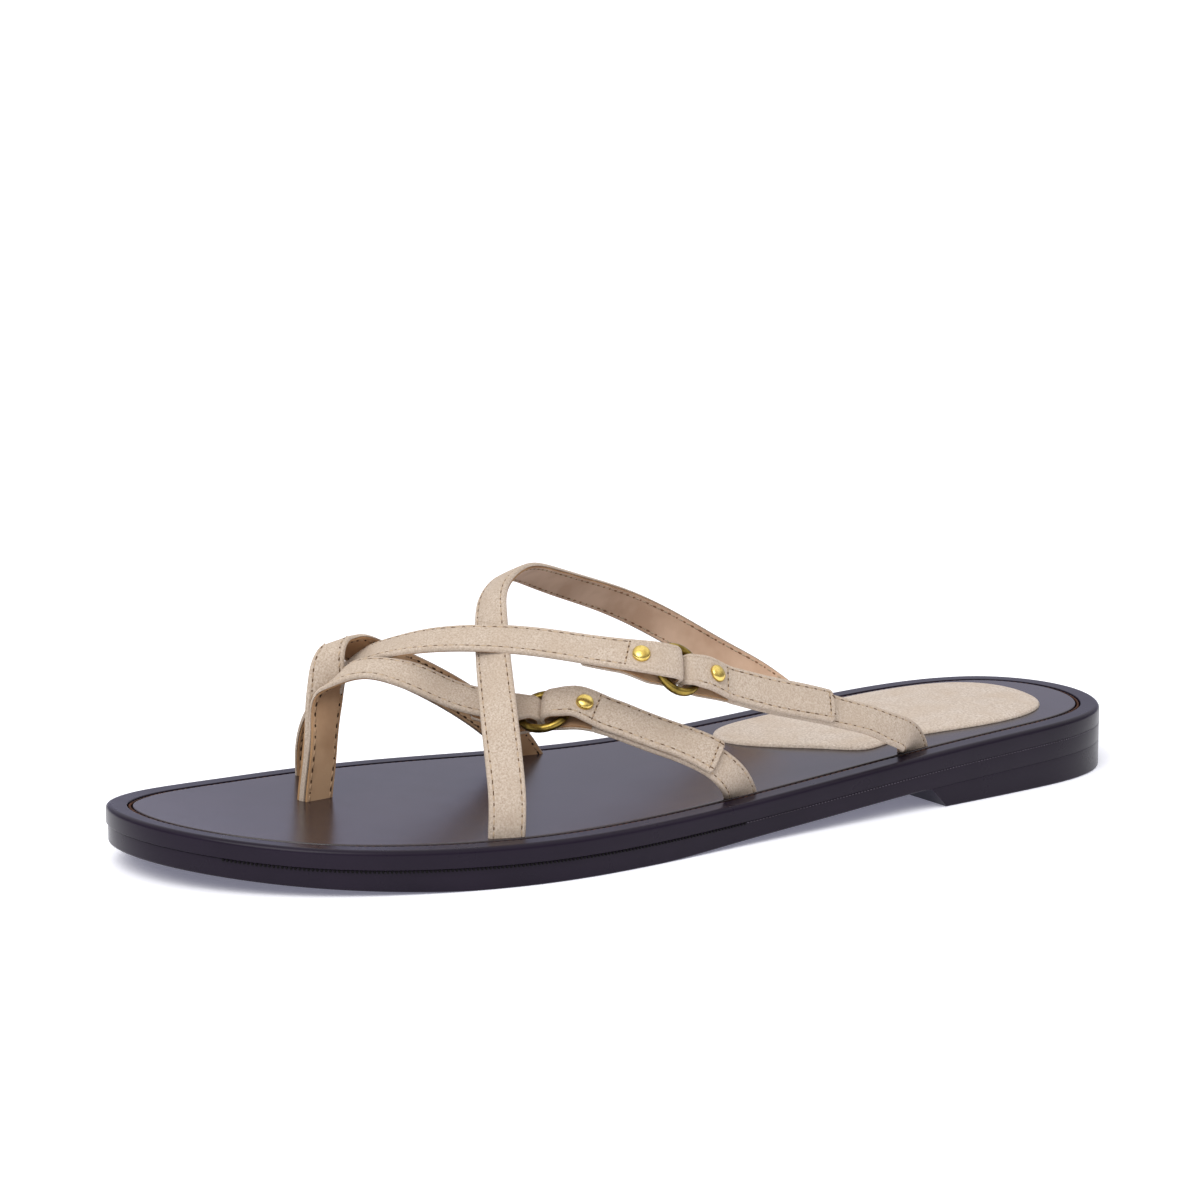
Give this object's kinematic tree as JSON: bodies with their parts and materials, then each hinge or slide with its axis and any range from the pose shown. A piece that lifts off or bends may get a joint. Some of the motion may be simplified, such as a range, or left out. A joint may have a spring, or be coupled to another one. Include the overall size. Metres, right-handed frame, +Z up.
{
  "type": "toe post sandal",
  "caption": "Flat toe post sandal for the left foot: crossing suede straps linked by brass rings and rivets, a soft heel pad and a dark stitched sole on a low heel.",
  "frame": {"origin": "centre of the bounding box at floor level, under the middle of the sole", "axes": "+Z up, -Y toward the toe, +X toward the outer side of the left foot"},
  "size_m": [0.091, 0.25, 0.0575],
  "materials": {
    "sole": "satin dark brown",
    "heel": "satin dark brown",
    "footbed": "smooth satin",
    "pad": "soft suede nap",
    "strap": "suede nap outside, smooth tan lining inside",
    "ring": "antique brass",
    "rivet": "polished brass"
  },
  "bodies": {
    "root": {"outsole": "sole", "midsole": "sole", "heel": "heel", "footbed": "footbed", "heel_pad": "pad", "upper": "strap", "strap_front": "strap", "strap_back": "strap", "ring_front": "ring", "ring_back": "ring", "rivet_toe": "rivet", "rivet_cross": "rivet", "rivet_front": "rivet", "rivet_back": "rivet"}
  },
  "joints": []
}
